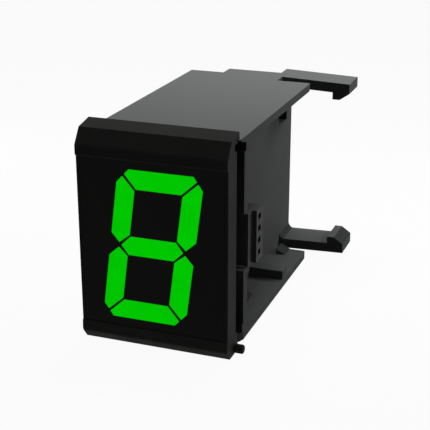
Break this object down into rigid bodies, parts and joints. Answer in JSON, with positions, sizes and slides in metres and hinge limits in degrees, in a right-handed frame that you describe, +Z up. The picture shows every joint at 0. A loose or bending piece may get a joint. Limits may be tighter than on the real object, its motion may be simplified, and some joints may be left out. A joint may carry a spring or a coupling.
{
  "type": "seven segment display",
  "caption": "Panel-mount seven segment display unit: dark flush front with a lit slanted digit, deep case with a side channel, side socket and snap arms that couple it to its neighbour.",
  "frame": {"origin": "middle of the lower edge of the frame's rear face, in the panel plane", "axes": "+X to the right seen from the front, +Y to the rear through the panel, +Z up; the digit faces -Y"},
  "size_m": [0.054, 0.0848, 0.058],
  "materials": {
    "case_plastic": "fine matt dark grey moulding",
    "frame_plastic": "satin black moulding",
    "window_plastic": "dark smooth filter",
    "segment_light": "green light pipe, lit",
    "reflector_white": "white moulding",
    "board_mask": "green solder mask on glass laminate",
    "led_resin": "clear resin chip",
    "connector_plastic": "dark grey connector body",
    "contact_metal": "plated contact",
    "chip_resin": "black moulding resin",
    "lead_metal": "tinned lead",
    "resistor_ceramic": "coated chip",
    "capacitor_sleeve": "dark sleeve"
  },
  "bodies": {
    "root": {"case": "case_plastic", "front_frame": "frame_plastic", "front_window": "window_plastic", "segment_a": "segment_light", "segment_b": "segment_light", "segment_c": "segment_light", "segment_d": "segment_light", "segment_e": "segment_light", "segment_f": "segment_light", "segment_g": "segment_light", "reflector": "reflector_white", "display_board": "board_mask", "segment_leds": "led_resin", "control_board": "board_mask", "side_socket": "connector_plastic", "socket_contacts": "contact_metal", "side_header": "connector_plastic", "header_pins": "contact_metal", "link_spacers": "connector_plastic", "link_pins": "contact_metal", "driver_chip": "chip_resin", "driver_leads": "lead_metal", "resistors": "resistor_ceramic", "filter_capacitor": "capacitor_sleeve"}
  },
  "joints": []
}
